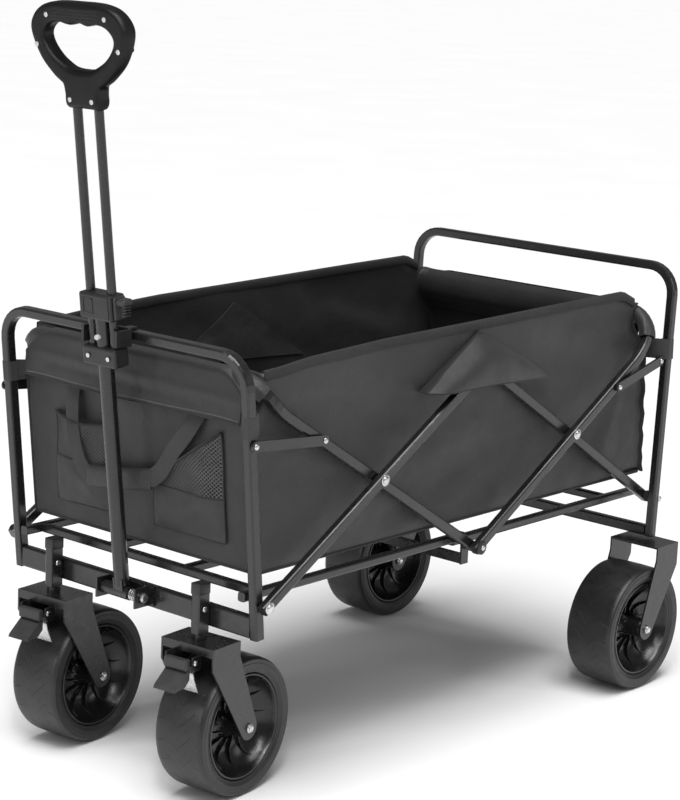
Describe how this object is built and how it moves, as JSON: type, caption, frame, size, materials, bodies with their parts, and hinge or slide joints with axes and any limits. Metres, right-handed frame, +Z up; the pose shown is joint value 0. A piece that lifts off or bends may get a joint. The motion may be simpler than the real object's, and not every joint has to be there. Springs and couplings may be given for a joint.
{
  "type": "folding utility wagon",
  "caption": "Four-wheeled folding fabric wagon on a double scissor frame, with swivelling braked front casters and a telescopic pull handle that swings forward.",
  "frame": {"origin": "on the ground under the middle of the wagon's length and width, wheels standing on z = 0", "axes": "+X towards the rear, away from the pull handle; +Y towards the left; +Z up"},
  "size_m": [1.0026, 0.5716, 0.9998],
  "materials": {
    "black_powder_coat": "satin powder coat",
    "bright_steel": "zinc plated",
    "black_plastic": "moulded, fine grain",
    "grey_plastic": "moulded, fine grain",
    "tyre_rubber": "moulded tread",
    "rim_plastic": "moulded",
    "oxford_cloth": "woven, padded",
    "white_plastic": "smooth"
  },
  "bodies": {
    "front_frame": {"front_frame_tube": "black_powder_coat", "front_crossbar": "black_powder_coat", "caster_post_left": "black_powder_coat", "caster_post_right": "black_powder_coat", "handle_bracket": "black_powder_coat", "handle_pin": "bright_steel", "handle_spring": "bright_steel", "handle_clip": "black_plastic"},
    "front_arms": {"arm_front_left": "black_powder_coat", "arm_front_right": "black_powder_coat"},
    "front_hoop": {"front_hoop_tube": "black_powder_coat"},
    "rear_hoop": {"rear_hoop_tube": "black_powder_coat", "bottom_hub_left": "black_plastic", "bottom_hub_right": "black_plastic"},
    "rear_arms": {"arm_rear_left": "black_powder_coat", "arm_rear_right": "black_powder_coat"},
    "rear_frame": {"rear_frame_tube": "black_powder_coat", "rear_crossbar": "black_powder_coat", "foot_spacer_left": "black_plastic", "foot_spacer_right": "black_plastic", "fork_rear_left": "black_powder_coat", "fork_rear_right": "black_powder_coat", "axle_rear_left": "bright_steel", "axle_rear_right": "bright_steel"},
    "centre_support": {"centre_support": "black_powder_coat"},
    "top_hubs": {"top_hub_left": "black_plastic", "top_hub_right": "black_plastic", "basket": "oxford_cloth"},
    "front_links": {"link_front_left": "black_powder_coat", "link_front_right": "black_powder_coat"},
    "rear_links": {"link_rear_left": "black_powder_coat", "link_rear_right": "black_powder_coat"},
    "floor_front": {"floor_frame_front": "black_powder_coat"},
    "floor_rear": {"floor_frame_rear": "black_powder_coat"},
    "caster_left": {"fork_front_left": "black_powder_coat", "axle_front_left": "bright_steel"},
    "caster_right": {"fork_front_right": "black_powder_coat", "axle_front_right": "bright_steel"},
    "brake_left": {"brake_pedal_left": "grey_plastic", "brake_plate_left": "bright_steel"},
    "brake_right": {"brake_pedal_right": "grey_plastic", "brake_plate_right": "bright_steel"},
    "wheel_front_left": {"tyre_front_left": "tyre_rubber", "rim_front_left": "rim_plastic"},
    "wheel_front_right": {"tyre_front_right": "tyre_rubber", "rim_front_right": "rim_plastic"},
    "wheel_rear_left": {"tyre_rear_left": "tyre_rubber", "rim_rear_left": "rim_plastic"},
    "wheel_rear_right": {"tyre_rear_right": "tyre_rubber", "rim_rear_right": "rim_plastic"},
    "handle_lower": {"handle_tube": "black_powder_coat", "handle_collar": "black_plastic"},
    "handle_upper": {"handle_rod_left": "black_powder_coat", "handle_rod_right": "black_powder_coat", "handle_slider": "black_plastic", "handle_grip": "black_plastic"},
    "lock_lever": {"lock_lever": "grey_plastic"},
    "snap_button": {"snap_button": "white_plastic"}
  },
  "joints": [
    {"name": "fold", "type": "hinge", "parent": "front_frame", "child": "front_arms", "pos_m": [-0.376, 0, 0.2757], "axis": [0, -1, 0], "range_deg": [0, 48.72], "deforming": ["basket"]},
    {"name": "cross_front", "type": "hinge", "parent": "front_arms", "child": "front_hoop", "pos_m": [-0.164, 0, 0.4043], "axis": [0, -1, 0], "range_deg": [-97.54, 0]},
    {"name": "bottom_hinge", "type": "hinge", "parent": "front_hoop", "child": "rear_hoop", "pos_m": [0.048, 0, 0.2757], "axis": [0, -1, 0], "range_deg": [0, 97.54]},
    {"name": "cross_rear", "type": "hinge", "parent": "rear_hoop", "child": "rear_arms", "pos_m": [0.26, 0, 0.4043], "axis": [0, -1, 0], "range_deg": [-97.54, 0]},
    {"name": "rear_foot", "type": "hinge", "parent": "rear_arms", "child": "rear_frame", "pos_m": [0.472, 0, 0.2757], "axis": [0, -1, 0], "range_deg": [0, 48.77]},
    {"name": "centre_hang", "type": "hinge", "parent": "front_hoop", "child": "centre_support", "pos_m": [0.048, 0, 0.2757], "axis": [0, -1, 0], "range_deg": [0, 48.77]},
    {"name": "top_hinge", "type": "hinge", "parent": "front_arms", "child": "top_hubs", "pos_m": [0.048, 0, 0.5329], "axis": [0, -1, 0], "range_deg": [-48.77, 0]},
    {"name": "link_front_pivot", "type": "hinge", "parent": "front_frame", "child": "front_links", "pos_m": [-0.4012, 0, 0.4818], "axis": [0, -1, 0], "range_deg": [0, 79.3]},
    {"name": "link_rear_pivot", "type": "hinge", "parent": "rear_frame", "child": "rear_links", "pos_m": [0.458, 0, 0.487], "axis": [0, -1, 0], "range_deg": [-98.71, 0]},
    {"name": "floor_front_pivot", "type": "hinge", "parent": "front_frame", "child": "floor_front", "pos_m": [-0.376, 0, 0.2757], "axis": [0, -1, 0], "range_deg": [0, 78.37]},
    {"name": "floor_rear_pivot", "type": "hinge", "parent": "rear_frame", "child": "floor_rear", "pos_m": [0.472, 0, 0.2757], "axis": [0, -1, 0], "range_deg": [-78.37, 0]},
    {"name": "swivel_left", "type": "hinge", "parent": "front_frame", "child": "caster_left", "pos_m": [-0.3932, 0.1364, 0.2147], "axis": [0, 0, 1], "continuous": true},
    {"name": "spin_front_left", "type": "hinge", "parent": "caster_left", "child": "wheel_front_left", "pos_m": [-0.33983, 0.14135, 0.0925], "axis": [-0.0924, 0.9957, 0], "continuous": true},
    {"name": "brake_left", "type": "hinge", "parent": "caster_left", "child": "brake_left", "pos_m": [-0.42805, 0.13317, 0.1975], "axis": [0.0924, -0.9957, 0], "range_deg": [0, 9]},
    {"name": "spin_rear_left", "type": "hinge", "parent": "rear_frame", "child": "wheel_rear_left", "pos_m": [0.4092, 0.2395, 0.0925], "axis": [0, 1, 0], "continuous": true},
    {"name": "swivel_right", "type": "hinge", "parent": "front_frame", "child": "caster_right", "pos_m": [-0.3932, -0.1364, 0.2147], "axis": [0, 0, 1], "continuous": true},
    {"name": "spin_front_right", "type": "hinge", "parent": "caster_right", "child": "wheel_front_right", "pos_m": [-0.33983, -0.13145, 0.0925], "axis": [-0.0924, 0.9957, 0], "continuous": true},
    {"name": "brake_right", "type": "hinge", "parent": "caster_right", "child": "brake_right", "pos_m": [-0.42805, -0.13963, 0.1975], "axis": [0.0924, -0.9957, 0], "range_deg": [0, 9]},
    {"name": "spin_rear_right", "type": "hinge", "parent": "rear_frame", "child": "wheel_rear_right", "pos_m": [0.4092, -0.2395, 0.0925], "axis": [0, 1, 0], "continuous": true},
    {"name": "handle_pivot", "type": "hinge", "parent": "front_frame", "child": "handle_lower", "pos_m": [-0.3977, 0, 0.247], "axis": [0, -1, 0], "range_deg": [0, 95]},
    {"name": "telescope", "type": "slide", "parent": "handle_lower", "child": "handle_upper", "axis": [-0.1215, 0, 0.9926], "range_m": [-0.2, 0]},
    {"name": "lock_lever", "type": "hinge", "parent": "handle_lower", "child": "lock_lever", "pos_m": [-0.44259, -0.0312, 0.61376], "axis": [0.9926, 0, 0.1215], "range_deg": [0, 15], "stiffness_Nm_per_rad": 0.5, "springref_deg": -5.73},
    {"name": "snap_button", "type": "slide", "parent": "handle_lower", "child": "snap_button", "axis": [0.9926, 0, 0.1215], "range_m": [0, 0.003], "stiffness_N_per_m": 600, "springref_m": -0.001}
  ],
  "couplings": [
    {"joint": "cross_front", "follows": "fold", "ratio": -2},
    {"joint": "bottom_hinge", "follows": "fold", "ratio": 2},
    {"joint": "cross_rear", "follows": "fold", "ratio": -2},
    {"joint": "rear_foot", "follows": "fold", "ratio": 1},
    {"joint": "centre_hang", "follows": "fold", "ratio": 1},
    {"joint": "top_hinge", "follows": "fold", "ratio": -1},
    {"joint": "link_front_pivot", "follows": "fold", "ratio": 1.626},
    {"joint": "link_rear_pivot", "follows": "fold", "ratio": -2.024},
    {"joint": "floor_front_pivot", "follows": "fold", "ratio": 1.607},
    {"joint": "floor_rear_pivot", "follows": "fold", "ratio": -1.607}
  ]
}
